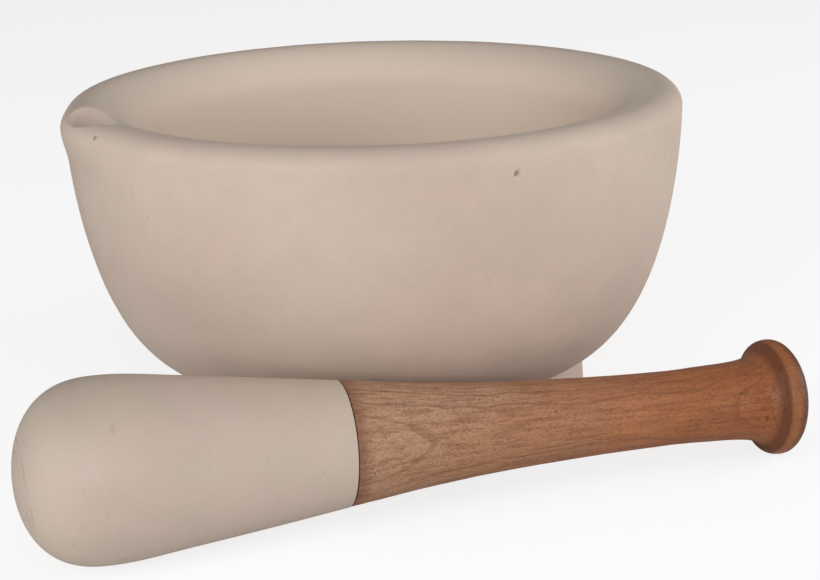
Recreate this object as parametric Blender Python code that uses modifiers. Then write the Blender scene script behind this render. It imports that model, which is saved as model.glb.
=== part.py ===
"""A large laboratory mortar with its pestle lying beside it on the bench.

The mortar is one heavy body of unglazed ceramic: a deep bowl with a thick rounded rim, a low
foot ring and a pouring lip pressed into the rim. The pestle has a ceramic head and a turned
wooden handle. The handle's tenon is bedded in cement in a blind socket in the head.

Lengths are in metres and +Z is up. The bench is the plane z = 0, and the origin is the middle
of the set's footprint on it. The pestle is turned about its own axis, which is the local Z of
its empty: distances along it are counted from the tip of the head.
"""

import math

import bmesh
import bpy
from mathutils import Matrix, Vector

MM = 0.001
GAP = 0.3 * MM  # clearance left between pieces that touch

# Mortar: the rim and the outside of the bowl
RIM_RADIUS = 130.0 * MM
HEIGHT = 133.0 * MM
CREST_RADIUS = 121.0 * MM
RIM_DROP_OUTSIDE = 7.4 * MM
BOWL_HANDLE_TOP = 32.0 * MM  # straightness of the side below the rim
BOWL_HANDLE_FOOT = (30.7 * MM, 10.7 * MM)  # slope at which the bowl meets the foot

# Mortar: the inside
INNER_RADIUS = 100.0 * MM
RIM_DROP_INSIDE = 18.5 * MM
FLOOR_HEIGHT = 24.0 * MM
INNER_FULLNESS = 2.6  # 2 is an ellipse, more is squarer

# Mortar: the foot ring
FOOT_RADIUS = 89.0 * MM
FOOT_HEIGHT = 20.0 * MM
FOOT_EDGE = 1.5 * MM
FOOT_FLARE = 0.7 * MM
RING_WIDTH = 15.0 * MM
RECESS_DEPTH = 3.5 * MM

# Mortar: the pouring lip
LIP_DIRECTION = math.radians(203.5)
LIP_HALF_ANGLE = math.radians(21.0)
LIP_REACH = 3.0 * MM  # how far the rim is drawn outwards at the lip
LIP_FADE = 16.0 * MM  # height over which that bulge dies out below the rim
SCOOP_CENTRE = (107.2 * MM, 142.6 * MM)  # distance from the mortar's axis, and height
SCOOP_SIZE = (27.8 * MM, 25.4 * MM, 7.2 * MM)  # half lengths: outwards, along the rim, down
SCOOP_TILT = math.radians(33.0)  # how steeply the channel runs down outwards

# Pestle: the outline, as (distance from the tip, radius)
NOSE_LENGTH = 31.6 * MM
HEAD_RADIUS = 32.7 * MM
NOSE_FULLNESS = (2.65, 2.07)  # along the axis, across it
WAIST = (
    (60.0 * MM, 30.0 * MM),
    (88.0 * MM, 26.55 * MM),
    (116.0 * MM, 22.95 * MM),
    (150.0 * MM, 18.75 * MM),
    (190.0 * MM, 15.8 * MM),
    (243.0 * MM, 14.2 * MM),
)
NECK_END = (266.0 * MM, 14.8 * MM)
NECK_HANDLE = (278.5 * MM, 15.3 * MM)  # curve handle that leads the neck into its flare
FACE_EDGE = (286.2 * MM, 20.9 * MM)  # where the hollow flare turns into the knob's round rim
FACE_SLOPE = math.radians(65.0)  # of the flare at that edge, from the handle's axis
FACE_HANDLE = 5.4 * MM
RIM_HANDLES = (1.0 * MM, 2.0 * MM)  # at the edge of the face, and at the crest
KNOB_CREST = (290.0 * MM, 22.5 * MM)
KNOB_BACK = 8.5 * MM
KNOB_FULLNESS = 2.4

# Pestle: the joint between the head and the handle
JOINT_AT = 116.0 * MM
SEAM = 1.0 * MM
SOCKET_RADIUS = 11.0 * MM
SOCKET_DEPTH = 45.0 * MM
CEMENT_THICKNESS = 1.4 * MM
CEMENT_INSET = 0.4 * MM  # how far the cement stays below the pestle's surface
TENON_SHORTER_BY = 3.0 * MM
TENON_CHAMFER = 1.5 * MM

# Where the pieces stand on the bench
MORTAR_PLACE = Vector((-16.0 * MM, 35.0 * MM, 0.0))
TIP_PLACE = Vector((-143.0 * MM, -140.0 * MM))
PESTLE_BEARING = math.radians(16.0)  # direction of the handle, turned from +X towards +Y

# How finely the curves are drawn, in straight steps
BOWL_STEPS = 84  # round the mortar
PESTLE_STEPS = 48  # round the pestle
WALL_STEPS = 10  # up the inside of the bowl, and down its side
RIM_STEPS = (7, 5)  # over the rim, inside the crest and outside it
FOOT_EDGE_STEPS = 2
NOSE_STEPS = 9
WAIST_STEPS = 4  # between two stations
KNOB_STEPS = (8, 4, 8)  # along the flare, ahead of the crest, behind it
SCOOP_STEPS = (32, 20)  # round it, and from pole to pole

MERGE_DISTANCE = 0.01 * MM
SMOOTH_ANGLE = math.radians(40.0)  # a sharper bend between two faces stays an edge
POSE_ROUNDS = 4  # tries at finding the two points that the pestle rests on

BISQUE = ("bisque_ceramic", (0.62, 0.50, 0.41), 0.75)
PESTLE_BISQUE = ("pestle_ceramic", (0.60, 0.49, 0.41), 0.6)
CEMENT = ("dark_cement", (0.10, 0.07, 0.05), 0.8)
WOOD = ("turned_wood", (0.32, 0.16, 0.09), 0.5)


def clear_scene():
    for obj in list(bpy.data.objects):
        bpy.data.objects.remove(obj)


def new_collection(name):
    collection = bpy.data.collections.new(name)
    bpy.context.scene.collection.children.link(collection)
    return collection


def principled(name, colour, roughness):
    material = bpy.data.materials.new(name)
    material.use_nodes = True
    shader = material.node_tree.nodes["Principled BSDF"]
    shader.inputs["Base Color"].default_value = (*colour, 1.0)
    shader.inputs["Roughness"].default_value = roughness
    shader.inputs["Metallic"].default_value = 0.0
    material.diffuse_color = (*colour, 1.0)
    return material


# ---------------------------------------------------------------- outlines


def quarter_ellipse(centre, across, along, start, steps):
    """Points (radius, height) over a quarter turn from angle start, leaving out the first."""
    points = []
    for step in range(1, steps + 1):
        angle = start + step * math.pi / 2 / steps
        points.append(
            (centre[0] + across * math.cos(angle), centre[1] + along * math.sin(angle))
        )
    return points


def bezier(first, first_handle, last_handle, last, steps):
    """Points along a cubic Bezier curve, leaving out the first."""
    points = []
    for step in range(1, steps + 1):
        t = step / steps
        weights = ((1 - t) ** 3, 3 * (1 - t) ** 2 * t, 3 * (1 - t) * t**2, t**3)
        ends = (first, first_handle, last_handle, last)
        points.append(tuple(sum(w * end[i] for w, end in zip(weights, ends)) for i in (0, 1)))
    return points


def superellipse_radius(share, radius, fullness, across_fullness):
    """Radius of a superellipse at this share (0 to 1) of its length from its widest place."""
    return radius * (1 - min(share, 1.0) ** fullness) ** (1 / across_fullness)


def smooth_through(stations, steps):
    """Points on a smooth curve through the stations, with this many steps between two."""
    slopes = [0.0]
    for before, after in zip(stations, stations[2:]):
        slopes.append((after[1] - before[1]) / (after[0] - before[0]))
    (near_end, end) = stations[-2:]
    slopes.append((end[1] - near_end[1]) / (end[0] - near_end[0]))
    points = [stations[0]]
    for i, (a, b) in enumerate(zip(stations, stations[1:])):
        length = b[0] - a[0]
        for step in range(1, steps + 1):
            t = step / steps
            value = (
                a[1] * (1 + 2 * t) * (1 - t) ** 2
                + slopes[i] * length * t * (1 - t) ** 2
                + b[1] * t**2 * (3 - 2 * t)
                + slopes[i + 1] * length * t**2 * (t - 1)
            )
            points.append((a[0] + t * length, value))
    return points


def mortar_outline():
    """(radius, height) from the middle of the floor, over the rim and back under the foot."""
    inner_depth = HEIGHT - RIM_DROP_INSIDE - FLOOR_HEIGHT
    inner = []
    for step in range(WALL_STEPS + 1):
        share = math.cos(step * math.pi / 2 / WALL_STEPS)
        radius = superellipse_radius(share, INNER_RADIUS, INNER_FULLNESS, INNER_FULLNESS)
        inner.append((radius, HEIGHT - RIM_DROP_INSIDE - share * inner_depth))
    inner[0] = (0.0, FLOOR_HEIGHT)
    rim_inside = quarter_ellipse(
        (CREST_RADIUS, HEIGHT - RIM_DROP_INSIDE),
        INNER_RADIUS - CREST_RADIUS,
        RIM_DROP_INSIDE,
        0.0,
        RIM_STEPS[0],
    )
    rim_outside = quarter_ellipse(
        (CREST_RADIUS, HEIGHT - RIM_DROP_OUTSIDE),
        CREST_RADIUS - RIM_RADIUS,
        RIM_DROP_OUTSIDE,
        math.pi / 2,
        RIM_STEPS[1],
    )
    side_top = (RIM_RADIUS, HEIGHT - RIM_DROP_OUTSIDE)
    side_foot = (FOOT_RADIUS, FOOT_HEIGHT)
    side = bezier(
        side_top,
        (side_top[0], side_top[1] - BOWL_HANDLE_TOP),
        (side_foot[0] + BOWL_HANDLE_FOOT[0], side_foot[1] + BOWL_HANDLE_FOOT[1]),
        side_foot,
        WALL_STEPS,
    )
    foot_base = FOOT_RADIUS + FOOT_FLARE
    recess_wall = foot_base - FOOT_EDGE - RING_WIDTH
    foot_edge = quarter_ellipse(
        (foot_base - FOOT_EDGE, FOOT_EDGE), FOOT_EDGE, -FOOT_EDGE, 0.0, FOOT_EDGE_STEPS
    )
    foot = [(foot_base, FOOT_EDGE)] + foot_edge
    recess = [
        (recess_wall, 0.0),
        (recess_wall - RECESS_DEPTH, RECESS_DEPTH),
        (0.0, RECESS_DEPTH),
    ]
    return inner + rim_inside + rim_outside + side + foot + recess


def body_line():
    """(distance from the tip, radius) of the pestle from its widest place to the knob."""
    return smooth_through(((NOSE_LENGTH, HEAD_RADIUS), *WAIST, NECK_END), WAIST_STEPS)


def nose_line():
    """(distance from the tip, radius) from the tip to the head's widest place."""
    points = [(0.0, 0.0)]
    for step in range(1, NOSE_STEPS + 1):
        share = math.cos(step * math.pi / 2 / NOSE_STEPS) ** (2 / NOSE_FULLNESS[0])
        radius = superellipse_radius(share, HEAD_RADIUS, *NOSE_FULLNESS)
        points.append((NOSE_LENGTH * (1 - share), radius))
    return points


def knob_line():
    """(distance from the tip, radius) from the end of the neck to the middle of the end."""
    crest_at, crest_radius = KNOB_CREST
    flare_steps, rim_steps, back_steps = KNOB_STEPS
    before_edge = past_face_edge(-FACE_HANDLE)
    points = bezier(NECK_END, NECK_HANDLE, before_edge, FACE_EDGE, flare_steps)
    after_edge = past_face_edge(RIM_HANDLES[0])
    before_crest = (crest_at - RIM_HANDLES[1], crest_radius)
    points += bezier(FACE_EDGE, after_edge, before_crest, KNOB_CREST, rim_steps)
    for step in range(1, back_steps + 1):
        share = math.sin(step * math.pi / 2 / back_steps)
        radius = superellipse_radius(share, crest_radius, KNOB_FULLNESS, KNOB_FULLNESS)
        points.append((crest_at + KNOB_BACK * share, radius))
    points[-1] = (crest_at + KNOB_BACK, 0.0)
    return points


def past_face_edge(length):
    """The point this far past the edge of the knob's face, in line with the face."""
    distance, radius = FACE_EDGE
    return (distance + length * math.cos(FACE_SLOPE), radius + length * math.sin(FACE_SLOPE))


def radius_at(line, distance):
    """Radius of a line of (distance, radius) points at this distance."""
    for (d0, r0), (d1, r1) in zip(line, line[1:]):
        if d0 <= distance <= d1:
            return r0 + (r1 - r0) * (distance - d0) / (d1 - d0)
    return line[-1][1]


# ---------------------------------------------------------------- turned pieces


def turned(name, outline, steps, material, collection, closed=False):
    """A solid turned about local Z from (radius, height) points that run down its outside."""
    mesh = bpy.data.meshes.new(name)
    count = len(outline)
    edges = [(i, i + 1) for i in range(count - 1)]
    if closed:
        edges.append((count - 1, 0))
    mesh.from_pydata([(radius, 0.0, height) for radius, height in outline], edges, [])
    obj = bpy.data.objects.new(name, mesh)
    collection.objects.link(obj)
    screw = obj.modifiers.new("turn", "SCREW")
    screw.axis = "Z"
    screw.steps = steps
    screw.render_steps = steps
    screw.use_merge_vertices = True
    screw.merge_threshold = MERGE_DISTANCE
    screw.use_smooth_shade = True
    mesh.materials.append(material)
    return obj


def freeze(obj):
    """Replaces an object's mesh by its evaluated one, so that single points can be moved."""
    graph = bpy.context.evaluated_depsgraph_get()
    mesh = bpy.data.meshes.new_from_object(obj.evaluated_get(graph))
    old = obj.data
    name = old.name
    obj.modifiers.clear()
    obj.data = mesh
    bpy.data.meshes.remove(old)
    mesh.name = name


def smooth(obj):
    obj.data.shade_smooth()
    obj.data.set_sharp_from_angle(angle=SMOOTH_ANGLE)


# ---------------------------------------------------------------- mortar


def draw_out_lip(mesh):
    """Pushes the rim outwards at the pouring lip, fading round the rim and down the side."""
    for vertex in mesh.vertices:
        x, y, z = vertex.co
        radius = math.hypot(x, y)
        if radius < INNER_RADIUS:
            continue
        turn = math.atan2(y, x) - LIP_DIRECTION
        turn = math.atan2(math.sin(turn), math.cos(turn))
        if abs(turn) >= LIP_HALF_ANGLE:
            continue
        round_rim = math.cos(turn / LIP_HALF_ANGLE * math.pi / 2) ** 2
        down_side = 1 - min(max((HEIGHT - RIM_DROP_OUTSIDE - z) / LIP_FADE, 0.0), 1.0)
        down_side = down_side**2 * (3 - 2 * down_side)
        outwards = min((radius - INNER_RADIUS) / (CREST_RADIUS - INNER_RADIUS), 1.0)
        push = LIP_REACH * round_rim * down_side * outwards
        vertex.co.x += push * math.cos(LIP_DIRECTION)
        vertex.co.y += push * math.sin(LIP_DIRECTION)


def lip_scoop(collection):
    """The ellipsoid that is pressed into the rim to make the channel of the lip."""
    mesh = bpy.data.meshes.new("lip_scoop")
    shape = bmesh.new()
    bmesh.ops.create_uvsphere(
        shape, u_segments=SCOOP_STEPS[0], v_segments=SCOOP_STEPS[1], radius=1.0
    )
    shape.to_mesh(mesh)
    shape.free()
    place = (
        Matrix.Translation(MORTAR_PLACE)
        @ Matrix.Rotation(LIP_DIRECTION, 4, "Z")
        @ Matrix.Translation((SCOOP_CENTRE[0], 0.0, SCOOP_CENTRE[1]))
        @ Matrix.Rotation(SCOOP_TILT, 4, "Y")
        @ Matrix.Diagonal((*SCOOP_SIZE, 1.0))
    )
    mesh.transform(place)
    cutter = bpy.data.objects.new("lip_scoop", mesh)
    collection.objects.link(cutter)
    cutter.hide_render = True
    cutter.display_type = "WIRE"
    return cutter


def mortar(collection, cutters):
    obj = turned("mortar_bowl", mortar_outline(), BOWL_STEPS, principled(*BISQUE), collection)
    freeze(obj)
    draw_out_lip(obj.data)
    obj.location = MORTAR_PLACE
    cut = obj.modifiers.new("lip", "BOOLEAN")
    cut.operation = "DIFFERENCE"
    cut.object = lip_scoop(cutters)
    smooth(obj)
    return obj


# ---------------------------------------------------------------- pestle


def pestle_head(collection):
    """From the middle of the socket's floor, out over the joint face and down to the tip."""
    face = JOINT_AT - SEAM / 2
    floor = face - SOCKET_DEPTH
    body = [point for point in body_line() if point[0] < face - MM]
    outside = body + [(face, radius_at(body_line(), face))]
    outline = [(0.0, floor), (SOCKET_RADIUS, floor), (SOCKET_RADIUS, face)]
    outline += [(radius, distance) for distance, radius in reversed(nose_line()[:-1] + outside)]
    return turned("pestle_head", outline, PESTLE_STEPS, principled(*PESTLE_BISQUE), collection)


def pestle_handle(collection):
    """From the middle of the knob's end, down the outside to the shoulder and the tenon."""
    shoulder = JOINT_AT + SEAM / 2
    body = [point for point in body_line() if point[0] > shoulder + MM]
    outside = [(shoulder, radius_at(body_line(), shoulder))] + body + knob_line()
    tenon_radius = SOCKET_RADIUS - CEMENT_THICKNESS - 2 * GAP
    tenon_end = JOINT_AT - SEAM / 2 - SOCKET_DEPTH + TENON_SHORTER_BY
    outline = [(radius, distance) for distance, radius in reversed(outside)]
    outline += [
        (tenon_radius, shoulder),
        (tenon_radius, tenon_end + TENON_CHAMFER),
        (tenon_radius - TENON_CHAMFER, tenon_end),
        (0.0, tenon_end),
    ]
    return turned("pestle_handle", outline, PESTLE_STEPS, principled(*WOOD), collection)


def joint_cement(collection):
    """A sleeve round the tenon with a thin collar that fills the seam."""
    low = JOINT_AT - SEAM / 2 - SOCKET_DEPTH + TENON_SHORTER_BY
    collar = (JOINT_AT - SEAM / 2 + GAP, JOINT_AT + SEAM / 2 - GAP)
    outer = SOCKET_RADIUS - GAP
    inner = outer - CEMENT_THICKNESS
    edge = radius_at(body_line(), JOINT_AT) - CEMENT_INSET
    outline = [
        (inner, collar[1]),
        (edge, collar[1]),
        (edge, collar[0]),
        (outer, collar[0]),
        (outer, low),
        (inner, low),
    ]
    return turned(
        "joint_cement", outline, PESTLE_STEPS, principled(*CEMENT), collection, closed=True
    )


def resting_pose():
    """(tilt, height of the tip) with the head and the knob's rim both touching the bench."""
    line = nose_line() + body_line()[1:]
    knob = knob_line()
    tilt = 0.0

    def lowest(points):
        return min(points, key=lambda p: p[0] * math.sin(tilt) - p[1] * math.cos(tilt))

    for _ in range(POSE_ROUNDS):
        head_point = lowest(line)
        knob_point = lowest(knob)
        tilt = math.atan2(knob_point[1] - head_point[1], knob_point[0] - head_point[0])
    head_point = lowest(line)
    return tilt, head_point[1] * math.cos(tilt) - head_point[0] * math.sin(tilt)


def pestle(collection):
    tilt, height = resting_pose()
    axis = bpy.data.objects.new("pestle_axis", None)
    collection.objects.link(axis)
    axis.location = (TIP_PLACE.x, TIP_PLACE.y, height)
    axis.rotation_euler = (0.0, math.pi / 2 - tilt, PESTLE_BEARING)
    for make in (pestle_head, joint_cement, pestle_handle):
        piece = make(collection)
        piece.parent = axis


def main():
    clear_scene()
    collection = new_collection("mortar_and_pestle")
    cutters = new_collection("cutters")
    mortar(collection, cutters)
    pestle(collection)


main()
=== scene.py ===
import math

import bpy
import numpy as np
from mathutils import Matrix, Vector, noise


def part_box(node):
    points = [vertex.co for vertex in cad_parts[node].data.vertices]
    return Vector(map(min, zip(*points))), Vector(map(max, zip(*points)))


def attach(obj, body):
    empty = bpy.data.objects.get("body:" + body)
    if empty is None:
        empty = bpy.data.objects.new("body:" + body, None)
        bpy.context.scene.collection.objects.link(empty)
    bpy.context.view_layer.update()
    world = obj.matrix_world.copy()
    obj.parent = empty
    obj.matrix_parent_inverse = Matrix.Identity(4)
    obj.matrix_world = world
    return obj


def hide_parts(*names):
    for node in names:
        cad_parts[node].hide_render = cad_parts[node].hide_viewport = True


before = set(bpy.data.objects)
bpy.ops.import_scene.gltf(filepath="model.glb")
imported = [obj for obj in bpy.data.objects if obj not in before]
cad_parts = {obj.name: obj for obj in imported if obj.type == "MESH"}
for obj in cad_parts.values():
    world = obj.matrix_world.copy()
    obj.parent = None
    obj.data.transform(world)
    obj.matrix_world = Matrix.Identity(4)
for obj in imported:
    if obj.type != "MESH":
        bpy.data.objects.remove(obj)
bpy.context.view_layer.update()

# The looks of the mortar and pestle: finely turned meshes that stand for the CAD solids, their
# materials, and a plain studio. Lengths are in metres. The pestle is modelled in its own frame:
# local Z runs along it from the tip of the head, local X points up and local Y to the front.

MM = 0.001

# Mortar outline, as in the CAD part
CREST_INSET = 9.0 * MM
RIM_DROP_OUTSIDE = 7.4 * MM
BOWL_HANDLE_TOP = 32.0 * MM
BOWL_HANDLE_FOOT = (30.7 * MM, 10.7 * MM)
INNER_RADIUS = 100.0 * MM
RIM_DROP_INSIDE = 18.5 * MM
FLOOR_HEIGHT = 24.0 * MM
INNER_FULLNESS = 2.6
FOOT_RADIUS = 89.0 * MM
FOOT_HEIGHT = 20.0 * MM
FOOT_FILLET = 2.0 * MM
FILLET_TOP_RISE = 0.3 * FOOT_FILLET
FILLET_PULL = 0.4 * FOOT_FILLET
FOOT_EDGE = 1.5 * MM
FOOT_FLARE = 0.7 * MM
RING_WIDTH = 15.0 * MM
RECESS_DEPTH = 3.5 * MM
RECESS_FILLET = 3.5 * MM

# Pouring lip
LIP_DIRECTION = math.radians(203.5)
LIP_HALF_ANGLE = math.radians(21.0)
LIP_REACH = 3.0 * MM
LIP_FADE = 16.0 * MM
SCOOP_CENTRE = (107.2 * MM, 142.6 * MM)
SCOOP_SIZE = (27.8 * MM, 25.4 * MM, 7.2 * MM)
SCOOP_TILT = math.radians(-33.0)
SCOOP_BLEND = 1.2 * MM

# Small chips out of the mortar's surface: direction, height, half length, half height, depth
CHIPS = (
    (math.radians(292.8), 121.6 * MM, 1.7 * MM, 1.2 * MM, 0.7 * MM),
    (math.radians(214.6), 129.7 * MM, 1.1 * MM, 1.0 * MM, 0.5 * MM),
    (math.radians(332.5), 104.3 * MM, 1.5 * MM, 1.0 * MM, 0.4 * MM),
    (math.radians(71.0), 127.0 * MM, 2.0 * MM, 1.2 * MM, 0.6 * MM),
    (math.radians(128.0), 118.0 * MM, 1.3 * MM, 1.0 * MM, 0.5 * MM),
)
CHIP_REACH = 1.4  # in sizes of the chip: points further out are left alone
CHIP_RAGGEDNESS = 0.35
CHIP_GRAIN = 0.9 * MM
CHIP_STEEPNESS = 1.6
CHIP_STAIN = 0.7
CHIP_STAIN_REACH = 0.55  # over the chip's half length and half height together

# Pestle outline, as (distance from the tip, radius), as in the CAD part
NOSE_LENGTH = 31.6 * MM
HEAD_RADIUS = 32.7 * MM
NOSE_FULLNESS = (2.65, 2.07)
WAIST = (
    (60.0 * MM, 30.0 * MM),
    (88.0 * MM, 26.55 * MM),
    (116.0 * MM, 22.95 * MM),
    (150.0 * MM, 18.75 * MM),
    (190.0 * MM, 15.8 * MM),
    (243.0 * MM, 14.2 * MM),
)
NECK_END = (266.0 * MM, 14.8 * MM)
NECK_HANDLE = (278.5 * MM, 15.3 * MM)
FACE_EDGE = (286.2 * MM, 20.9 * MM)
FACE_SLOPE = math.radians(65.0)
FACE_HANDLE = 5.4 * MM
RIM_HANDLES = (1.0 * MM, 2.0 * MM)
KNOB_CREST = (290.0 * MM, 22.5 * MM)
KNOB_BACK = 8.5 * MM
KNOB_FULLNESS = 2.4
JOINT_AT = 116.0 * MM
SEAM = 0.5 * MM  # narrower than in the CAD part, but still clear of the cement's collar
SOCKET_RADIUS = 11.0 * MM
SOCKET_DEPTH = 45.0 * MM
CEMENT_ROOM = 2.0 * MM
TENON_SHORTER_BY = 3.0 * MM
TENON_CHAMFER = 1.5 * MM
EDGE_ROUNDING = 0.2 * MM
CLEAR_OF_EDGE = 1.5 * EDGE_ROUNDING  # the nearest the rest of an outline comes to an edge

# Soft unevenness of each surface, one layer after another: reach, size of its grain, seed
MORTAR_WAVES = ((0.25 * MM, 70 * MM, 3.0), (0.06 * MM, 14 * MM, 8.0))
HEAD_WAVES = ((0.12 * MM, 35 * MM, 5.0),)
HANDLE_WAVES = ((0.10 * MM, 22 * MM, 11.0), (0.04 * MM, 4 * MM, 17.0))

# Edges sharper than this many degrees stay sharp
MORTAR_SHARP = 60
PESTLE_SHARP = 50

# Looping marks rubbed into the head's nose: centre (up, front, distance from the tip), radius
RUBBED_LOOPS = (
    ((-3.0 * MM, 2.0 * MM, 1.0 * MM), 19.0 * MM),
    ((-5.0 * MM, 1.0 * MM, 2.0 * MM), 17.0 * MM),
    ((-10.0 * MM, 9.0 * MM, 3.0 * MM), 8.0 * MM),
    ((1.0 * MM, 7.0 * MM, 1.0 * MM), 12.0 * MM),
)
LOOP_WIDTH = (0.35 * MM, 0.08 * MM)  # half widths at which a mark is gone, and at its full
LOOPS_END = (11.0 * MM, 6.0 * MM)  # distances from the tip, likewise

# Colours of the ceramic: a yellower and a pinker tone, and the dark of its specks
MORTAR_TONES = ((0.630, 0.515, 0.425), (0.612, 0.478, 0.402))
MORTAR_DARK = (0.20, 0.145, 0.11)
# Painted light: the paler colour of the bowl's hollow, standing for the light inside it
MORTAR_PAINTED_LIGHT = (0.75, 0.625, 0.52)
# Painted shade: the darker colour towards the bench
MORTAR_PAINTED_SHADE = (0.50, 0.375, 0.285)
HEAD_TONES = ((0.563, 0.463, 0.380), (0.550, 0.435, 0.370))
HEAD_DARK = (0.25, 0.18, 0.14)

# Specks in the ceramic: spacing, radius, the share of places that hold one, strength
LARGE_SPECKS = (19 * MM, 0.55 * MM, 0.25, 0.7)
SMALL_SPECKS = (7 * MM, 0.32 * MM, 0.4, 0.6)

# Hairline scratches in the ceramic: scale, width, strength, and the share of each surface
HAIRLINE_SCALE = 130.0
HAIRLINE_WIDTH = 0.010
HAIRLINE_STRENGTH = 0.22
MORTAR_HAIRLINES = 0.36
HEAD_HAIRLINES = 0.40

# The hollow of the bowl is painted paler, as painted light, where the distance from the axis, less
# a share of the height, falls from the first of these lengths to the second
HOLLOW_EDGE = (76.0 * MM, 67.0 * MM)
HOLLOW_SLOPE = 0.35
LOW_SHADE_HEIGHT = (60.0 * MM, 5.0 * MM)  # heights above the bench, from no painted shade to the most

# Colours of the wood
WOOD_WARM = (0.450, 0.175, 0.068)
WOOD_DEEP = (0.360, 0.115, 0.039)
# Pale dry wood, also the colour of the painted highlight on the upper side beside the ceramic
WOOD_DRY_AND_HIGHLIGHT = (0.490, 0.290, 0.180)
WOOD_GRAIN = (0.180, 0.062, 0.026)
WOOD_PORE = (0.100, 0.036, 0.018)
WOOD_SHADED = (0.125, 0.040, 0.016)
WOOD_EDGE = (0.330, 0.125, 0.050)

# Small dark knots on the knob's face: (up, front, distance from the tip)
KNOTS = (
    (2.0 * MM, 19.0 * MM, 285.3 * MM),
    (-2.0 * MM, 16.0 * MM, 279.5 * MM),
    (16.0 * MM, 12.0 * MM, 286.0 * MM),
)
KNOT_RADIUS = 0.9 * MM

# Where the wood's colour changes, from nothing to full: distances from the tip, or radii
JOINT_STAIN = (123.5 * MM, 116.5 * MM)
PALE_TO_KNOB = (260.0 * MM, 180.0 * MM)
PALE_TO_JOINT = (185.0 * MM, 120.0 * MM)
# Painted highlight on the upper side beside the ceramic: heights above the axis, from nothing to
# full
UPPER_SIDE_HIGHLIGHT = (4.0 * MM, 16.0 * MM)
KNOB_BEGINS = (262.0 * MM, 272.0 * MM)
FACE_BEGINS = (16.5 * MM, 19.0 * MM)
FACE_ENDS = (22.4 * MM, 21.4 * MM)
RIM_BEGINS = (21.4 * MM, 22.1 * MM)
RIM_ENDS = (290.5 * MM, 288.5 * MM)
BACK_BEGINS = (289.0 * MM, 292.5 * MM)

# Growth rings of the wood: their spacing, and the pith, which runs behind the handle, as
# (slope, offset) of its up and of its front coordinate over the distance from the tip
RING_SPACING = 3.1 * MM
PITH_UP = (0.03, -12.0 * MM)
PITH_FRONT = (-0.05, -30.0 * MM)
RING_WARP = 8.0 * MM

# Stretch of the wood's marks: how many to the metre, across the grain twice and along it
CLOUD_SCALE = (45.0, 45.0, 26.0)
STREAK_SCALE = (650.0, 650.0, 42.0)
CURL_SCALE = (1000.0, 1000.0, 520.0)
PORE_SCALE = (2500.0, 2500.0, 700.0)
PORE_PATCH_SCALE = (80.0, 80.0, 45.0)
WARP_SCALE = (24.0, 24.0, 16.0)

# Colours of the cement
CEMENT_DARK = (0.020, 0.012, 0.010)
CEMENT_CRUMBS = (0.060, 0.034, 0.024)

# Fineness of the meshes: columns round an axis, steps along a curve, lengths along a straight
MORTAR_COLUMNS = 400
LIP_COLUMN_STEP = math.radians(0.3)
LIP_COLUMNS_REACH = 1.3 * LIP_HALF_ANGLE
CHIP_COLUMN_STEP = 0.3 * MM
CHIP_COLUMNS_REACH = 1.5  # in half lengths of the chip
CLOSEST_COLUMNS = 0.4 * CHIP_COLUMN_STEP
PESTLE_COLUMNS = 240
BOWL_STEPS = 65
RIM_STEPS = (42, 20)  # inside the crest, outside it
SIDE_STEPS = 72
FILLET_STEPS = 6
FOOT_EDGE_STEPS = 5
FOOT_LENGTHS = (1.6 * MM, 3.0 * MM, 4.0 * MM)  # on its side, its ring and the recess
NOSE_STEPS = 60
BODY_STEPS = 36
KNOB_STEPS = (30, 16, 36)  # along the face, ahead of the crest, behind it
ROUNDING_STEPS = 4
JOINT_LENGTH = 6.0 * MM  # along the socket and the tenon

# Camera: seen from in front of the mortar's axis, at this distance and height
CAMERA_BACK = 0.6761
CAMERA_HEIGHT = 0.2563
CAMERA_PITCH = math.radians(17.664)
CAMERA_YAW = math.radians(1.117)
CAMERA_ROLL = math.radians(-1.581)
CAMERA_LENS = 70.24
CAMERA_SENSOR = 36.0

# Light: a soft white room, four soft boxes and a pale floor
SKY_LIGHT = 0.20
SKY_SEEN = 0.92
SOFTBOXES = (  # name, place, size, power
    ("left_softbox", (-1.10, -1.10, 0.60), (1.2, 0.8), 10.2),
    ("right_softbox", (1.50, 0.0, 0.50), (0.9, 0.9), 11.5),
    ("front_softbox", (0.0, -1.60, 0.55), (0.8, 0.5), 6.5),
    ("overhead_softbox", (0.0, -1.10, 1.20), (0.9, 0.9), 2.8),
)
LIGHTS_AIM = (0.0, 0.0, 0.06)
FLOOR_HALF = 6.0
FLOOR_LIGHTING = 0.80  # how much light the floor returns to the mortar and pestle
FLOOR_SEEN = 0.25
FLOOR_GLOW = 0.79
WHITE = (1.0, 1.0, 1.0, 1.0)


# ---------------------------------------------------------------- outlines


def quarter_turn(steps):
    """The angles of a quarter turn from zero, leaving out the first."""
    return np.linspace(0, math.pi / 2, steps + 1)[1:]


def quarter_ellipse(centre, across, along, start, steps):
    """Points (radius, height) over a quarter turn from angle start, leaving out the first."""
    angles = start + quarter_turn(steps)
    return [(centre[0] + across * math.cos(a), centre[1] + along * math.sin(a)) for a in angles]


def bezier(first, first_handle, last_handle, last, steps):
    """Points along a cubic Bezier curve, leaving out the first."""
    t = np.linspace(0, 1, steps + 1)[1:, None]
    ends = [np.array(end) for end in (first, first_handle, last_handle, last)]
    weights = ((1 - t) ** 3, 3 * (1 - t) ** 2 * t, 3 * (1 - t) * t**2, t**3)
    return [tuple(point) for point in sum(w * end for w, end in zip(weights, ends))]


def superellipse_radius(share, radius, fullness, across_fullness):
    """Radius of a superellipse at this share (0 to 1) of its length from its widest place."""
    return radius * (1 - min(share, 1.0) ** fullness) ** (1 / across_fullness)


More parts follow.
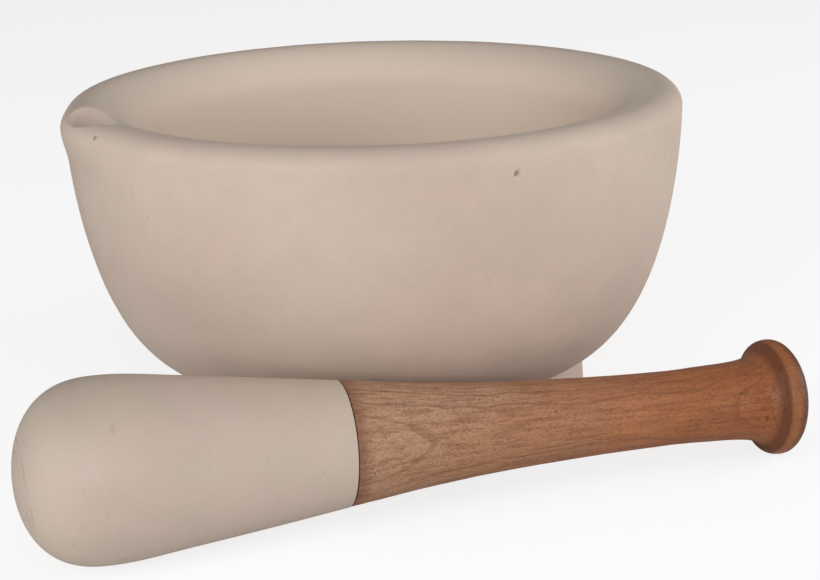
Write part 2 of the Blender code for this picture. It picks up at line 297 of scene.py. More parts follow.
def smooth_through(stations, steps):
    """Points on a smooth curve through the stations, with this many steps between two."""
    slopes = [0.0]
    for before, after in zip(stations, stations[2:]):
        slopes.append((after[1] - before[1]) / (after[0] - before[0]))
    near_end, end = stations[-2:]
    slopes.append((end[1] - near_end[1]) / (end[0] - near_end[0]))
    points = [stations[0]]
    for i, (a, b) in enumerate(zip(stations, stations[1:])):
        length = b[0] - a[0]
        for t in np.arange(1, steps + 1) / steps:
            value = (
                a[1] * (1 + 2 * t) * (1 - t) ** 2
                + slopes[i] * length * t * (1 - t) ** 2
                + b[1] * t**2 * (3 - 2 * t)
                + slopes[i + 1] * length * t**2 * (t - 1)
            )
            points.append((a[0] + t * length, value))
    return points


def straight(first, last, longest):
    """Points along a straight stretch, no further apart than longest, leaving out the first."""
    first, last = np.array(first), np.array(last)
    steps = max(1, math.ceil(np.linalg.norm(last - first) / longest))
    return [tuple(first + (last - first) * i / steps) for i in range(1, steps + 1)]


def mortar_outline(radius, height):
    """(radius, height) from the middle of the floor, over the rim and back under the foot."""
    side_foot = (FOOT_RADIUS + FOOT_FILLET, FOOT_HEIGHT + FILLET_TOP_RISE)
    return (
        bowl_outline(radius, height)
        + side_outline(radius, height - RIM_DROP_OUTSIDE, side_foot)
        + foot_outline(side_foot)
    )


def bowl_outline(radius, height):
    """The inside of the bowl from the middle of its floor, and the rim down to the outside."""
    crest = radius - CREST_INSET
    inner_top = height - RIM_DROP_INSIDE
    points = [(0.0, FLOOR_HEIGHT)]
    for angle in quarter_turn(BOWL_STEPS):
        share = math.cos(angle)
        reach = superellipse_radius(share, INNER_RADIUS, INNER_FULLNESS, INNER_FULLNESS)
        points.append((reach, inner_top - share * (inner_top - FLOOR_HEIGHT)))
    steps_inside, steps_outside = RIM_STEPS
    points += quarter_ellipse(
        (crest, inner_top), INNER_RADIUS - crest, RIM_DROP_INSIDE, 0.0, steps_inside
    )
    outside_top = (crest, height - RIM_DROP_OUTSIDE)
    return points + quarter_ellipse(
        outside_top, crest - radius, RIM_DROP_OUTSIDE, math.pi / 2, steps_outside
    )


def side_outline(radius, top, side_foot):
    """The outside of the bowl, from its widest place down to the fillet above the foot."""
    return bezier(
        (radius, top),
        (radius, top - BOWL_HANDLE_TOP),
        (side_foot[0] + BOWL_HANDLE_FOOT[0], side_foot[1] + BOWL_HANDLE_FOOT[1]),
        side_foot,
        SIDE_STEPS,
    )


def foot_outline(side_foot):
    """The fillet, the foot's side, its ring and the shallow recess, in to the axis."""
    wall_length, ring_length, under_length = FOOT_LENGTHS
    foot_top = (FOOT_RADIUS, FOOT_HEIGHT - FOOT_FILLET)
    pulled = (FOOT_RADIUS + FILLET_PULL, FOOT_HEIGHT)
    fillet = bezier(side_foot, pulled, foot_top, foot_top, FILLET_STEPS)
    base = FOOT_RADIUS + FOOT_FLARE
    wall = straight(foot_top, (base, FOOT_EDGE), wall_length)
    ring_outer = base - FOOT_EDGE
    edge = quarter_ellipse((ring_outer, FOOT_EDGE), FOOT_EDGE, -FOOT_EDGE, 0.0, FOOT_EDGE_STEPS)
    ring_inner = ring_outer - RING_WIDTH
    ring = straight((ring_outer, 0.0), (ring_inner, 0.0), ring_length)
    recess_centre = (ring_inner - RECESS_FILLET, 0.0)
    recess = quarter_ellipse(recess_centre, RECESS_FILLET, RECESS_DEPTH, 0.0, FILLET_STEPS)
    under = straight(recess[-1], (0.0, RECESS_DEPTH), under_length)
    return fillet + wall + edge + ring + recess + under


def body_line():
    """(distance from the tip, radius) of the pestle from its widest place to the knob."""
    return smooth_through(((NOSE_LENGTH, HEAD_RADIUS), *WAIST, NECK_END), BODY_STEPS)


def nose_line():
    """(distance from the tip, radius) from the tip to the head's widest place."""
    points = [(0.0, 0.0)]
    for angle in quarter_turn(NOSE_STEPS):
        share = math.cos(angle) ** (2 / NOSE_FULLNESS[0])
        points.append(
            (NOSE_LENGTH * (1 - share), superellipse_radius(share, HEAD_RADIUS, *NOSE_FULLNESS))
        )
    return points


def knob_line():
    """(distance from the tip, radius) from the end of the neck to the middle of the end."""
    crest_at, crest_radius = KNOB_CREST
    before_edge = past_face_edge(-FACE_HANDLE)
    face_steps, rim_steps, back_steps = KNOB_STEPS
    points = bezier(NECK_END, NECK_HANDLE, before_edge, FACE_EDGE, face_steps)
    after_edge = past_face_edge(RIM_HANDLES[0])
    before_crest = (crest_at - RIM_HANDLES[1], crest_radius)
    points += bezier(FACE_EDGE, after_edge, before_crest, KNOB_CREST, rim_steps)
    for angle in quarter_turn(back_steps):
        share = math.sin(angle)
        radius = superellipse_radius(share, crest_radius, KNOB_FULLNESS, KNOB_FULLNESS)
        points.append((crest_at + KNOB_BACK * share, radius))
    points[-1] = (crest_at + KNOB_BACK, 0.0)
    return points


def past_face_edge(length):
    """The point this far past the edge of the knob's face, in line with the face."""
    distance, radius = FACE_EDGE
    return (distance + length * math.cos(FACE_SLOPE), radius + length * math.sin(FACE_SLOPE))


def radius_at(line, distance):
    """The radius of a line of (distance, radius) at this distance."""
    return float(np.interp(distance, [p[0] for p in line], [p[1] for p in line]))


# ---------------------------------------------------------------- meshes


def side_faces(rows, columns):
    """The faces between neighbouring rings of a turned mesh."""
    faces = []
    for row in range(rows - 1):
        this_ring, next_ring = row * columns, (row + 1) * columns
        for column in range(columns):
            after = (column + 1) % columns
            faces.append(
                (this_ring + column, next_ring + column, next_ring + after, this_ring + after)
            )
    return faces


def end_faces(rows, columns):
    """The faces that close a turned mesh to its two points on the axis, which come last."""
    first_end, last_end = rows * columns, rows * columns + 1
    last_ring = (rows - 1) * columns
    faces = []
    for column in range(columns):
        after = (column + 1) % columns
        faces.append((first_end, column, after))
        faces.append((last_end, last_ring + after, last_ring + column))
    return faces


def turned(name, outline, angles, material):
    """A closed mesh turned about local Z. The outline runs from the axis to the axis, with the
    solid on its right, so that the faces point out."""
    rings = np.array(outline[1:-1])
    angles = np.asarray(angles)
    rows, columns = len(rings), len(angles)
    points = np.empty((rows * columns + 2, 3))
    points[:-2, 0] = np.outer(rings[:, 0], np.cos(angles)).ravel()
    points[:-2, 1] = np.outer(rings[:, 0], np.sin(angles)).ravel()
    points[:-2, 2] = np.repeat(rings[:, 1], columns)
    points[-2] = (0.0, 0.0, outline[0][1])
    points[-1] = (0.0, 0.0, outline[-1][1])
    faces = side_faces(rows, columns) + end_faces(rows, columns)
    mesh = bpy.data.meshes.new(name)
    mesh.from_pydata(points.tolist(), [], faces)
    mesh.materials.append(material)
    return placed(name, mesh)


def placed(name, data):
    """A new object that shows this mesh, light or camera, linked into the scene."""
    obj = bpy.data.objects.new(name, data)
    bpy.context.scene.collection.objects.link(obj)
    return obj


def points_of(mesh):
    points = np.empty(len(mesh.vertices) * 3)
    mesh.vertices.foreach_get("co", points)
    return points.reshape(-1, 3)


def set_points(mesh, points):
    mesh.vertices.foreach_set("co", points.ravel())
    mesh.update()


def normals_of(mesh):
    normals = np.empty(len(mesh.vertices) * 3)
    mesh.vertices.foreach_get("normal", normals)
    return normals.reshape(-1, 3)


def uneven(mesh, layers):
    """Moves each point along its normal by layers of soft noise: reach, size of grain, seed."""
    for reach, size, seed in layers:
        points = points_of(mesh)
        shift = Vector((seed, -seed, 2.3 * seed))
        waves = [noise.noise(Vector(point) / size + shift) for point in points]
        set_points(mesh, points + normals_of(mesh) * (reach * np.array(waves))[:, None])


def smooth(obj, degrees):
    obj.data.shade_smooth()
    obj.data.set_sharp_from_angle(angle=math.radians(degrees))


def smoothstep(value):
    value = np.clip(value, 0.0, 1.0)
    return value * value * (3 - 2 * value)


def soft_minimum(a, b, blend):
    """The lower of a and b, with the corner between them rounded over this height."""
    near = np.clip(blend - np.abs(a - b), 0.0, None) / blend
    return np.minimum(a, b) - near * near * blend / 4


# ---------------------------------------------------------------- mortar


def spread(start, end, step):
    """Angles from start to end, rounded so that equal ones can be found."""
    return set(np.round(np.arange(start, end, step), 6))


def mortar_angles(radius):
    """The columns round the mortar: an even spacing, finer at the lip and at each chip."""
    angles = set(np.round(np.arange(MORTAR_COLUMNS) * 2 * math.pi / MORTAR_COLUMNS, 6))
    reach = LIP_COLUMNS_REACH
    angles |= spread(LIP_DIRECTION - reach, LIP_DIRECTION + reach, LIP_COLUMN_STEP)
    for direction, _, half_length, _, _ in CHIPS:
        reach = CHIP_COLUMNS_REACH * half_length / radius
        angles |= spread(direction - reach, direction + reach, CHIP_COLUMN_STEP / radius)
    ordered = sorted(angles)
    kept = [ordered[0]]
    for angle in ordered[1:]:
        if angle - kept[-1] > CLOSEST_COLUMNS / radius:
            kept.append(angle)
    return kept


def turn_from(points, direction):
    """Angle of each point round the axis from this direction, between -pi and pi."""
    turn = np.arctan2(points[:, 1], points[:, 0]) - direction
    return np.arctan2(np.sin(turn), np.cos(turn))


def shape_lip(points, radius, height):
    """Draws the rim out at the lip and presses the channel into it."""
    crest = radius - CREST_INSET
    turn = turn_from(points, LIP_DIRECTION)
    distance = np.hypot(points[:, 0], points[:, 1])
    round_rim = np.where(
        np.abs(turn) < LIP_HALF_ANGLE, np.cos(turn / LIP_HALF_ANGLE * math.pi / 2) ** 2, 0.0
    )
    down_side = smoothstep(1 - (height - RIM_DROP_OUTSIDE - points[:, 2]) / LIP_FADE)
    outwards = np.clip((distance - INNER_RADIUS) / (crest - INNER_RADIUS), 0.0, 1.0)
    push = LIP_REACH * round_rim * down_side * outwards
    points[:, 0] += push * math.cos(LIP_DIRECTION)
    points[:, 1] += push * math.sin(LIP_DIRECTION)
    along = points[:, 0] * math.cos(LIP_DIRECTION) + points[:, 1] * math.sin(LIP_DIRECTION)
    across = points[:, 1] * math.cos(LIP_DIRECTION) - points[:, 0] * math.sin(LIP_DIRECTION)
    scoop = scoop_height(along - SCOOP_CENTRE[0], across)
    near = np.isfinite(scoop) & (points[:, 2] > height - 2 * RIM_DROP_INSIDE) & (along > 0)
    points[near, 2] = soft_minimum(points[near, 2], scoop[near], SCOOP_BLEND)


def scoop_height(along, across):
    """Height of the underside of the tilted ellipsoid that presses the channel, NaN beside it."""
    long_half, wide_half, deep_half = SCOOP_SIZE
    cosine, sine = math.cos(SCOOP_TILT), math.sin(SCOOP_TILT)
    square = (sine / long_half) ** 2 + (cosine / deep_half) ** 2
    linear = 2 * along * sine * cosine * (long_half**-2 - deep_half**-2)
    rest = along**2 * ((cosine / long_half) ** 2 + (sine / deep_half) ** 2)
    rest = rest + (across / wide_half) ** 2 - 1
    under_root = linear**2 - 4 * square * rest
    root = np.sqrt(np.where(under_root > 0, under_root, np.nan))
    return SCOOP_CENTRE[1] - (linear + root) / (2 * square)


def press_chips(mesh, radius):
    """Breaks a small shallow flake out of the surface at each chip."""
    points = points_of(mesh)
    normals = normals_of(mesh)
    for index, (direction, height, half_length, half_height, depth) in enumerate(CHIPS):
        distance = np.hypot(points[:, 0], points[:, 1])
        along = turn_from(points, direction) * distance / half_length
        up = (points[:, 2] - height) / half_height
        away = np.hypot(along, up)
        outside = distance > radius - 2 * CREST_INSET
        for i in np.nonzero((away < CHIP_REACH) & outside)[0]:
            wander = noise.noise(Vector(points[i]) / CHIP_GRAIN + Vector((index, 0, 0)))
            share = smoothstep(CHIP_STEEPNESS * (1 + CHIP_RAGGEDNESS * wander - away[i]))
            points[i] -= normals[i] * depth * share
    set_points(mesh, points)


def make_mortar():
    low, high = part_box("mortar_bowl")
    radius = (high.x - low.x) / 2
    centre = Vector(((low.x + high.x) / 2, (low.y + high.y) / 2, 0.0))
    height = high.z
    outline = mortar_outline(radius, height)
    obj = turned("mortar_body", outline, mortar_angles(radius), mortar_ceramic(radius))
    points = points_of(obj.data)
    shape_lip(points, radius, height)
    set_points(obj.data, points)
    uneven(obj.data, MORTAR_WAVES)
    press_chips(obj.data, radius)
    smooth(obj, MORTAR_SHARP)
    obj.location = centre
    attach(obj, "mortar")
    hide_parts("mortar_bowl")


# ---------------------------------------------------------------- pestle


def distinct_points(node):
    """The different places of a CAD mesh's vertices."""
    points = np.array([vertex.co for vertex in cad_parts[node].data.vertices])
    return np.unique(np.round(points, 6), axis=0)


def pestle_place():
    """The pestle's own frame: its origin at the tip of the head, Z along it, X up."""
    handle = distinct_points("pestle_handle")
    middle = handle.mean(axis=0)
    direction = np.linalg.svd(handle - middle)[2][0]
    if direction @ (middle - distinct_points("pestle_head").mean(axis=0)) < 0:
        direction = -direction
    end = ((handle - middle) @ direction).max()
    length = KNOB_CREST[0] + KNOB_BACK
    tip = Vector(middle + direction * (end - length))
    axis = Vector(direction)
    up = (Vector((0, 0, 1)) - axis * axis.z).normalized()
    front = axis.cross(up)
    return Matrix.Translation(tip) @ Matrix((up, front, axis)).transposed().to_4x4()


def rounded_corner(before, corner, after):
    """The corner of an outline, replaced by a small round between its two neighbours."""
    before, corner, after = (np.array(point) for point in (before, corner, after))
    start = corner + (before - corner) * EDGE_ROUNDING / np.linalg.norm(before - corner)
    end = corner + (after - corner) * EDGE_ROUNDING / np.linalg.norm(after - corner)
    return [tuple(start)] + bezier(start, corner, corner, end, ROUNDING_STEPS)


def head_outline():
    """(radius, distance from the tip) from the floor of the socket, out and round to the tip."""
    face = JOINT_AT - SEAM / 2
    floor = face - SOCKET_DEPTH
    line = nose_line() + body_line()[1:]
    outside = [(r, s) for s, r in line if s < face - CLEAR_OF_EDGE]
    edge = (radius_at(line, face), face)
    mouth = (SOCKET_RADIUS, face)
    corner = rounded_corner(mouth, edge, outside[-1])
    socket = [(0.0, floor), (SOCKET_RADIUS, floor)]
    socket += straight((SOCKET_RADIUS, floor), mouth, JOINT_LENGTH)
    return socket + corner + outside[::-1]


def handle_outline():
    """(radius, distance from the tip) from the middle of the knob's back to the tenon's end."""
    shoulder = JOINT_AT + SEAM / 2
    line = body_line() + knob_line()
    outside = [(r, s) for s, r in line if s > shoulder + CLEAR_OF_EDGE]
    edge = (radius_at(body_line(), shoulder), shoulder)
    tenon_radius = SOCKET_RADIUS - CEMENT_ROOM
    tenon_end = JOINT_AT - SEAM / 2 - SOCKET_DEPTH + TENON_SHORTER_BY
    tenon_root = (tenon_radius, shoulder)
    corner = rounded_corner(outside[0], edge, tenon_root)
    chamfer_top = (tenon_radius, tenon_end + TENON_CHAMFER)
    tenon = [tenon_root] + straight(tenon_root, chamfer_top, JOINT_LENGTH)
    tenon += [(tenon_radius - TENON_CHAMFER, tenon_end), (0.0, tenon_end)]
    return outside[::-1] + corner + tenon


def make_pestle_part(name, outline, material, waves, place):
    """One turned piece of the pestle, with its unevenness, put in its place."""
    angles = np.arange(PESTLE_COLUMNS) * 2 * math.pi / PESTLE_COLUMNS
    obj = turned(name, outline, angles, material)
    uneven(obj.data, waves)
    smooth(obj, PESTLE_SHARP)
    obj.matrix_world = place
    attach(obj, "pestle")
    return obj


def make_head(place):
    obj = make_pestle_part(
        "pestle_ceramic_head", head_outline(), head_ceramic(), HEAD_WAVES, place
    )
    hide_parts("pestle_head")


def make_handle(place):
    obj = make_pestle_part(
        "pestle_wooden_handle", handle_outline(), handle_wood(), HANDLE_WAVES, place
    )
    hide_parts("pestle_handle")


def colour_cement():
    """The cement stays the CAD mesh, and is only given its material."""
    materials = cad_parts["joint_cement"].data.materials
    materials.clear()
    materials.append(cement())


# ---------------------------------------------------------------- materials


class Graph:
    """A material's nodes, made and linked in one call each."""

    def __init__(self, name):
        self.material = bpy.data.materials.new(name)
        self.material.use_nodes = True
        self.tree = self.material.node_tree
        self.shader = self.tree.nodes["Principled BSDF"]

    def feed(self, socket, value):
        if isinstance(value, bpy.types.NodeSocket):
            self.tree.links.new(value, socket)
        else:
            socket.default_value = value

    def node(self, kind, inputs, **settings):
        made = self.tree.nodes.new(kind)
        for key, value in settings.items():
            setattr(made, key, value)
        for key, value in inputs.items():
            self.feed(made.inputs[key], value)
        return made

    def place(self):
        """Object coordinates, in metres."""
        return self.node("ShaderNodeTexCoord", {}).outputs["Object"]

    def scaled(self, vector, factors):
        inputs = {"Vector": vector, "Scale": factors}
        return self.node("ShaderNodeMapping", inputs).outputs["Vector"]

    def split(self, vector):
        return self.node("ShaderNodeSeparateXYZ", {"Vector": vector}).outputs

    def noise(self, vector, scale, detail=2.0, roughness=0.5, distortion=0.0, colour=False):
        inputs = {"Vector": vector, "Scale": scale, "Detail": detail}
        inputs |= {"Roughness": roughness, "Distortion": distortion}
        made = self.node("ShaderNodeTexNoise", inputs)
        return made.outputs["Color" if colour else "Fac"]

    def cells(self, vector, scale):
        """(distance to the nearest cell point, in cells; a random value of that cell)."""
        made = self.node("ShaderNodeTexVoronoi", {"Vector": vector, "Scale": scale})
        return made.outputs["Distance"], self.split(made.outputs["Color"])["X"]

    def sum(self, operation, a, b=0.0, c=0.0):
        made = self.tree.nodes.new("ShaderNodeMath")
        made.operation = operation
        for socket, value in zip(made.inputs, (a, b, c)):
            self.feed(socket, value)
        return made.outputs[0]

    def vector_sum(self, operation, a, b=(0.0, 0.0, 0.0), output=0):
        made = self.tree.nodes.new("ShaderNodeVectorMath")
        made.operation = operation
        self.feed(made.inputs[0], a)
        self.feed(made.inputs[1], b)
        return made.outputs[output]

    def ramp(self, value, start, end, low=0.0, high=1.0):
        """From low at start to high at end, smoothly."""
        inputs = {"Value": value, "From Min": start, "From Max": end}
        inputs |= {"To Min": low, "To Max": high}
        made = self.node("ShaderNodeMapRange", inputs, interpolation_type="SMOOTHSTEP")
        return made.outputs["Result"]

    def mix(self, factor, a, b):
        """Colour a where the factor is 0, colour b where it is 1."""
        made = self.node("ShaderNodeMix", {}, data_type="RGBA")
        self.feed(made.inputs["Factor"], factor)
        for socket, value in zip([s for s in made.inputs if s.type == "RGBA"], (a, b)):
            self.feed(socket, (*value, 1.0) if isinstance(value, tuple) else value)
        return next(s for s in made.outputs if s.type == "RGBA")

    def tint(self, colour, mask, strength, towards):
        """The colour, drawn this strongly towards another where the mask is 1."""
        return self.mix(self.sum("MULTIPLY", mask, strength), colour, towards)

    def finish(self, colour, roughness, height, reach):
        """Links colour, roughness and bump; reach is the bump's depth in metres."""
        bump = self.node("ShaderNodeBump", {"Strength": 1.0, "Distance": reach, "Height": height})
        self.feed(self.shader.inputs["Base Color"], colour)
        self.feed(self.shader.inputs["Roughness"], roughness)
        self.feed(self.shader.inputs["Normal"], bump.outputs["Normal"])
        return self.material


def specks(graph, place, spacing, radius, share):
    """1 inside small uneven specks: this share of the cells of this spacing holds one."""
    wander = graph.scaled(graph.noise(place, 0.9 / radius, colour=True), (0.8 * radius,) * 3)
    distance, chance = graph.cells(graph.vector_sum("ADD", place, wander), 1.0 / spacing)
    size = graph.ramp(chance, 1 - share, 1.0, 0.0, radius / spacing)
    inside = graph.sum("SUBTRACT", size, distance)
    return graph.ramp(inside, -0.2 * radius / spacing, 0.35 * radius / spacing)


def hairlines(graph, place, scale, width, share):
    """1 on thin bent scratches, which come in patches."""
    off = graph.sum("ABSOLUTE", graph.sum("SUBTRACT", graph.noise(place, scale, 0.0), 0.5))
    line = graph.ramp(off, width, 0.2 * width)
    patch = graph.ramp(graph.noise(place, 1.3 * scale, 1.0), 1 - share, 1.06 - share)
    return graph.sum("MULTIPLY", line, patch)


def spot(graph, place, centre, radius):
    """1 inside a ragged spot of this radius round a point."""
    ragged = graph.ramp(graph.noise(place, 0.8 / radius, 3.0, 0.7), 0.2, 0.8, 0.45, 1.5)
    distance = graph.vector_sum("DISTANCE", place, tuple(centre), output="Value")
    reach = graph.sum("MULTIPLY", ragged, radius)
    return graph.ramp(graph.sum("SUBTRACT", reach, distance), 0.0, 0.35 * radius)


def largest(graph, layers):
    """The largest of several masks."""
    total = layers[0]
    for layer in layers[1:]:
        total = graph.sum("MAXIMUM", total, layer)
    return total


def grey(graph, value):
    """A vector with this value in all three places."""
    return graph.node("ShaderNodeCombineXYZ", {"X": value, "Y": value, "Z": value}).outputs[0]


def biscuit(graph, place, tones, dark, own_marks, line_share):
    """Colour and height of unglazed ceramic: soft two-tone mottling, fine grain, sparse dark
    specks, hairline scratches and the piece's own marks."""
    tone = graph.ramp(graph.noise(place, 11.0, 3.0, 0.55), 0.4, 0.62)
    colour = graph.mix(tone, *tones)
    mottle = graph.ramp(graph.noise(place, 45.0, 4.0, 0.6), 0.25, 0.75, 0.96, 1.04)
    grain = graph.ramp(graph.noise(place, 1400.0, 2.0, 0.6), 0.25, 0.75, 0.97, 1.03)
    shade = graph.sum("MULTIPLY", mottle, grain)
    colour = graph.vector_sum("MULTIPLY", colour, grey(graph, shade))
    layers = []
    for spacing, radius, share, strength in (LARGE_SPECKS, SMALL_SPECKS):
        layers.append(graph.sum("MULTIPLY", specks(graph, place, spacing, radius, share), strength))
    lines = hairlines(graph, place, HAIRLINE_SCALE, HAIRLINE_WIDTH, line_share)
    layers.append(graph.sum("MULTIPLY", lines, HAIRLINE_STRENGTH))
    marks = largest(graph, layers + own_marks)
    colour = graph.mix(marks, colour, dark)
    fine = graph.noise(place, 1900.0, 3.0, 0.65)
    waves = graph.noise(place, 160.0, 2.0)
    height = graph.sum("MULTIPLY_ADD", waves, 0.5, graph.sum("MULTIPLY", fine, 0.5))
    return colour, graph.sum("SUBTRACT", height, marks)


def chip_stains(graph, place, radius):
    """A dark stain in each chip."""
    stains = []
    for direction, height, half_length, half_height, _ in CHIPS:
        centre = (radius * math.cos(direction), radius * math.sin(direction), height)
        stain = spot(graph, place, centre, CHIP_STAIN_REACH * (half_length + half_height))
        stains.append(graph.sum("MULTIPLY", stain, CHIP_STAIN))
    return stains


def mortar_ceramic(radius):
    """Matte biscuit: stained in its chips, painted paler in the hollow of the bowl as painted
    light, and painted darker towards the bench as painted shade."""
    graph = Graph("mortar_biscuit")
    place = graph.place()
    stains = chip_stains(graph, place, radius)
    colour, height = biscuit(graph, place, MORTAR_TONES, MORTAR_DARK, stains, MORTAR_HAIRLINES)
    x, y, up = (graph.split(place)[i] for i in range(3))
    from_wall = graph.sum("MULTIPLY_ADD", up, -HOLLOW_SLOPE, distance_across(graph, x, y))
    # Painted light: the hollow of the bowl is painted paler
    colour = graph.mix(graph.ramp(from_wall, *HOLLOW_EDGE, 0.0, 0.9), colour, MORTAR_PAINTED_LIGHT)
    # Painted shade: darker towards the bench
    colour = graph.mix(graph.ramp(up, *LOW_SHADE_HEIGHT, 0.0, 0.15), colour, MORTAR_PAINTED_SHADE)
    rough = graph.ramp(graph.noise(place, 60.0, 3.0), 0.3, 0.7, 0.72, 0.84)
    return graph.finish(colour, rough, height, 0.05 * MM)


def rubbed_loops(graph, place):
    """The faint loops rubbed into the tip of the head."""
    wobble = graph.scaled(graph.noise(place, 90.0, 2.0, colour=True), (2.2 * MM,) * 3)
    bent = graph.vector_sum("ADD", place, wobble)
    loops = []
    for centre, radius in RUBBED_LOOPS:
        distance = graph.vector_sum("DISTANCE", bent, centre, output="Value")
        off = graph.sum("ABSOLUTE", graph.sum("SUBTRACT", distance, radius))
        loops.append(graph.ramp(off, *LOOP_WIDTH))
    near_tip = graph.ramp(graph.split(place)["Z"], *LOOPS_END)
    faint = graph.ramp(graph.noise(place, 130.0, 2.0), 0.35, 0.65, 0.15, 0.5)
    return graph.sum("MULTIPLY", largest(graph, loops), graph.sum("MULTIPLY", near_tip, faint))


def head_ceramic():
    """Biscuit rubbed smooth by use, with looping rubbed marks round the tip."""
    graph = Graph("pestle_biscuit")
    place = graph.place()
    rubbed = rubbed_loops(graph, place)
    colour, height = biscuit(graph, place, HEAD_TONES, HEAD_DARK, [rubbed], HEAD_HAIRLINES)
    rough = graph.ramp(graph.noise(place, 60.0, 3.0), 0.3, 0.7, 0.42, 0.52)
    graph.shader.inputs["Specular IOR Level"].default_value = 0.35
    return graph.finish(colour, rough, height, 0.03 * MM)


def distance_across(graph, x, y):
    """How far a place is from the axis."""
    squares = graph.sum("ADD", graph.sum("MULTIPLY", x, x), graph.sum("MULTIPLY", y, y))
    return graph.sum("SQRT", squares)


def growth_rings(graph, place):
    """1 on the dark late wood of rings round a pith that runs behind the handle, aslant."""
    warp = graph.noise(graph.scaled(place, WARP_SCALE), 1.0, 3.0, 0.6, colour=True)
    bent = graph.vector_sum("ADD", place, graph.scaled(warp, (RING_WARP, RING_WARP, 0.0)))
    x, y, z = (graph.split(bent)[i] for i in range(3))
    off_x = graph.sum("SUBTRACT", x, graph.sum("MULTIPLY_ADD", z, *PITH_UP))
    off_y = graph.sum("SUBTRACT", y, graph.sum("MULTIPLY_ADD", z, *PITH_FRONT))
    rings = graph.sum("DIVIDE", distance_across(graph, off_x, off_y), RING_SPACING)
    share = graph.sum("FRACT", rings)
    return graph.sum("MULTIPLY", graph.ramp(share, 0.74, 0.96), graph.ramp(share, 1.0, 0.97))


def wood_curls(graph, place):
    """1 on short curled lines of grain."""
    curl = graph.noise(graph.scaled(place, CURL_SCALE), 1.0, 2.0, 0.5, 1.2)
    return graph.ramp(graph.sum("ABSOLUTE", graph.sum("SUBTRACT", curl, 0.5)), 0.045, 0.01)


def wood_pores(graph, place):
    """1 in fine pores along the grain, which come closer together in patches."""
    pore = graph.noise(graph.scaled(place, PORE_SCALE), 1.0, 2.0, 0.6)
    patch = graph.noise(graph.scaled(place, PORE_PATCH_SCALE), 1.0, 2.0)
    patch = graph.ramp(patch, 0.3, 0.7)
    return graph.ramp(graph.sum("MULTIPLY_ADD", patch, 0.05, pore), 0.61, 0.70)


def dry_wood_and_highlight(graph, up, along, cloud):
    """How dry and pale the wood is, most beside the ceramic, with a painted highlight on the side
    that lies up there.
    """
    along = graph.sum("MULTIPLY_ADD", graph.sum("SUBTRACT", cloud, 0.5), 0.10, along)
    to_knob = graph.ramp(along, *PALE_TO_KNOB, 0.0, 0.45)
    to_joint = graph.ramp(along, *PALE_TO_JOINT, 0.0, 0.5)
    # Painted highlight: paler on the upper side beside the ceramic
    upper_highlight = graph.ramp(up, *UPPER_SIDE_HIGHLIGHT, 0.0, 0.8)
    to_joint = graph.sum("MULTIPLY_ADD", to_joint, upper_highlight, to_joint)
    return graph.sum("ADD", to_knob, to_joint)


def shaded_knob(graph, place, radius, along, colour):
    """The wood's colour with the knob's face, knots, rim and back darkened."""
    at_knob = graph.ramp(along, *KNOB_BEGINS)
    face = graph.sum("MULTIPLY", graph.ramp(radius, *FACE_BEGINS), graph.ramp(radius, *FACE_ENDS))
    colour = graph.tint(colour, graph.sum("MULTIPLY", face, at_knob), 0.85, WOOD_SHADED)
    for centre in KNOTS:
        colour = graph.tint(colour, spot(graph, place, centre, KNOT_RADIUS), 0.7, WOOD_PORE)
    rim = graph.sum("MULTIPLY", graph.ramp(radius, *RIM_BEGINS), at_knob)
    rim = graph.sum("MULTIPLY", rim, graph.ramp(along, *RIM_ENDS))
    colour = graph.tint(colour, rim, 0.5, WOOD_EDGE)
    return graph.mix(graph.ramp(along, *BACK_BEGINS, 0.0, 0.85), colour, WOOD_SHADED)


def handle_wood():
    """Turned hardwood: growth rings cut into arches, fine dark marks along the grain, dry and
    pale beside the ceramic with a painted highlight on its upper side there, darker and smoother
    towards the knob."""
    graph = Graph("turned_hardwood")
    place = graph.place()
    up, front, along = (graph.split(place)[i] for i in range(3))
    late = growth_rings(graph, place)
    cloud = graph.noise(graph.scaled(place, CLOUD_SCALE), 1.0, 3.0, 0.6)
    streaks = graph.noise(graph.scaled(place, STREAK_SCALE), 1.0, 3.0, 0.6)
    curls = wood_curls(graph, place)
    pores = wood_pores(graph, place)

    colour = graph.mix(graph.ramp(cloud, 0.3, 0.7), WOOD_DEEP, WOOD_WARM)
    # Pale dry wood beside the ceramic, with a painted highlight on its upper side there
    colour = graph.mix(dry_wood_and_highlight(graph, up, along, cloud), colour, WOOD_DRY_AND_HIGHLIGHT)
    colour = graph.mix(graph.ramp(streaks, 0.42, 0.72, 0.0, 0.5), colour, WOOD_GRAIN)
    colour = graph.tint(colour, late, 0.4, WOOD_GRAIN)
    colour = graph.tint(colour, curls, 0.5, WOOD_GRAIN)
    colour = graph.tint(colour, pores, 0.5, WOOD_PORE)
    colour = graph.mix(graph.ramp(along, *JOINT_STAIN, 0.0, 0.6), colour, WOOD_GRAIN)
    colour = shaded_knob(graph, place, distance_across(graph, up, front), along, colour)

    height = graph.sum("MULTIPLY_ADD", streaks, 0.5, graph.sum("MULTIPLY", late, -0.2))
    height = graph.sum("SUBTRACT", height, graph.sum("MULTIPLY", curls, 0.2))
    height = graph.sum("SUBTRACT", height, pores)
    rough = graph.ramp(along, 150 * MM, 270 * MM, 0.62, 0.42)
    graph.shader.inputs["Specular IOR Level"].default_value = 0.3
    return graph.finish(colour, rough, height, 0.09 * MM)


def cement():
    """Dark hardened cement, slightly crumbly."""
    graph = Graph("dark_cement")
    place = graph.place()
    crumbs = graph.noise(place, 900.0, 4.0, 0.7)
    colour = graph.mix(graph.ramp(crumbs, 0.3, 0.7), CEMENT_DARK, CEMENT_CRUMBS)
    rough = graph.ramp(crumbs, 0.3, 0.7, 0.7, 0.9)
    return graph.finish(colour, rough, crumbs, 0.1 * MM)


# ---------------------------------------------------------------- studio


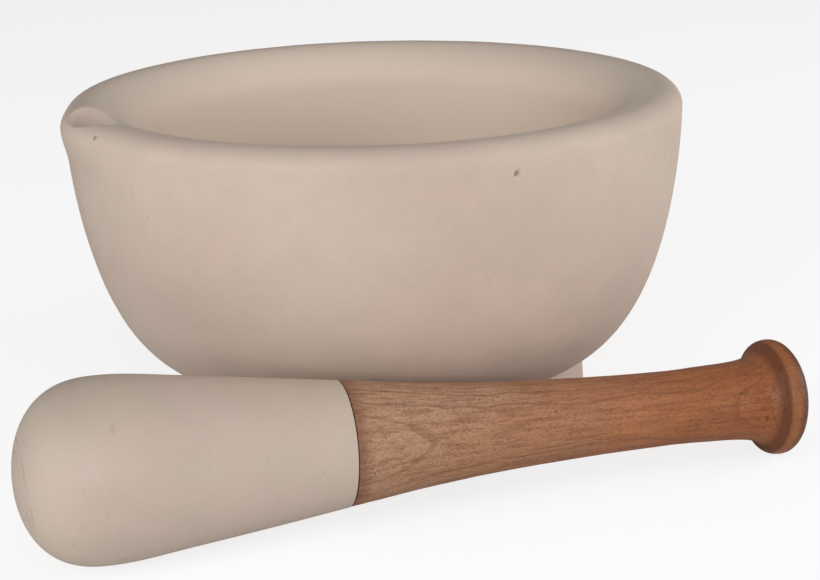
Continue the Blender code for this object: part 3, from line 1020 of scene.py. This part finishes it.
def make_floor():
    """A plain pale floor. To the camera it looks paler than the light it returns."""
    mesh = bpy.data.meshes.new("floor")
    signs = ((-1, -1), (1, -1), (1, 1), (-1, 1))
    corners = [(x * FLOOR_HALF, y * FLOOR_HALF, 0.0) for x, y in signs]
    mesh.from_pydata(corners, [], [(0, 1, 2, 3)])
    floor = placed("floor", mesh)
    material = bpy.data.materials.new("pale_floor")
    material.use_nodes = True
    shader = material.node_tree.nodes["Principled BSDF"]
    shader.inputs["Roughness"].default_value = 0.9
    shader.inputs["Emission Color"].default_value = WHITE
    seen_only(material.node_tree, FLOOR_LIGHTING, FLOOR_SEEN, shader.inputs["Base Color"])
    seen_only(material.node_tree, 0.0, FLOOR_GLOW, shader.inputs["Emission Strength"])
    mesh.materials.append(material)


def seen_only(tree, lighting, seen, socket):
    """Gives a strength one value for the light it casts and another for what is seen directly."""
    path = tree.nodes.new("ShaderNodeLightPath")
    strength = tree.nodes.new("ShaderNodeMapRange")
    strength.inputs["To Min"].default_value = lighting
    strength.inputs["To Max"].default_value = seen
    tree.links.new(path.outputs["Is Camera Ray"], strength.inputs["Value"])
    tree.links.new(strength.outputs["Result"], socket)


def area_light(name, place, size, power):
    """A rectangular soft box, turned to the middle of the set."""
    light = bpy.data.lights.new(name, "AREA")
    light.shape = "RECTANGLE"
    light.size, light.size_y = size
    light.energy = power
    obj = placed(name, light)
    obj.location = place
    aim = Vector(LIGHTS_AIM) - Vector(place)
    obj.rotation_euler = aim.to_track_quat("-Z", "Y").to_euler()


def make_lights():
    for name, place, size, power in SOFTBOXES:
        area_light(name, place, size, power)
    world = bpy.data.worlds.new("studio")
    bpy.context.scene.world = world
    world.use_nodes = True
    background = world.node_tree.nodes["Background"]
    background.inputs["Color"].default_value = WHITE
    seen_only(world.node_tree, SKY_LIGHT, SKY_SEEN, background.inputs["Strength"])


def make_camera():
    low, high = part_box("mortar_bowl")
    data = bpy.data.cameras.new("camera")
    data.lens = CAMERA_LENS
    data.sensor_width = CAMERA_SENSOR
    camera = placed("camera", data)
    place = Vector(((low.x + high.x) / 2, (low.y + high.y) / 2 - CAMERA_BACK, CAMERA_HEIGHT))
    aim = Vector(
        (
            math.sin(CAMERA_YAW) * math.cos(CAMERA_PITCH),
            math.cos(CAMERA_YAW) * math.cos(CAMERA_PITCH),
            -math.sin(CAMERA_PITCH),
        )
    )
    level_right = Vector((math.cos(CAMERA_YAW), -math.sin(CAMERA_YAW), 0.0))
    level_up = level_right.cross(aim)
    right = math.cos(CAMERA_ROLL) * level_right + math.sin(CAMERA_ROLL) * level_up
    up = right.cross(aim)
    turn = Matrix((right, up, -aim)).transposed().to_4x4()
    camera.matrix_world = Matrix.Translation(place) @ turn
    bpy.context.scene.camera = camera


make_mortar()
pestle_frame = pestle_place()
make_head(pestle_frame)
make_handle(pestle_frame)
colour_cement()
make_floor()
make_lights()
make_camera()
bpy.context.scene.view_settings.view_transform = "Standard"
